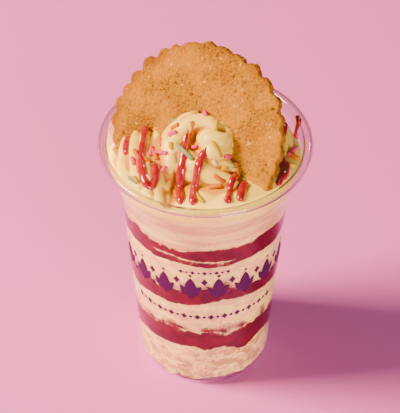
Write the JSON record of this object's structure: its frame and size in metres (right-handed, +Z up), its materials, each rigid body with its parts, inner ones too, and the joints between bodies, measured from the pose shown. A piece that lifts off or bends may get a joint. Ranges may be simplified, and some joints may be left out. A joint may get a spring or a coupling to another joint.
{
  "type": "layered cream sundae in a clear tumbler",
  "caption": "Clear tumbler filled with cream and red sauce in level layers, topped with a star-piped swirl, sauce ribbons, sprinkles and an upright round crimped biscuit.",
  "frame": {"origin": "on the table, on the tumbler's axis", "axes": "+Z up along the tumbler's axis, -Y towards the front, from which the picture is taken, +X to its right"},
  "size_m": [0.095, 0.095, 0.1673],
  "materials": {
    "plastic": "clear, glossy",
    "cream": "satin",
    "sauce": "wet, glossy",
    "biscuit": "matte, crumbly"
  },
  "bodies": {
    "root": {"tumbler": "plastic", "cream_bottom": "cream", "sauce_low": "sauce", "cream_low": "cream", "sauce_middle": "sauce", "cream_middle": "cream", "sauce_top": "sauce", "piped_cream": "cream", "biscuit": "biscuit"}
  },
  "joints": []
}
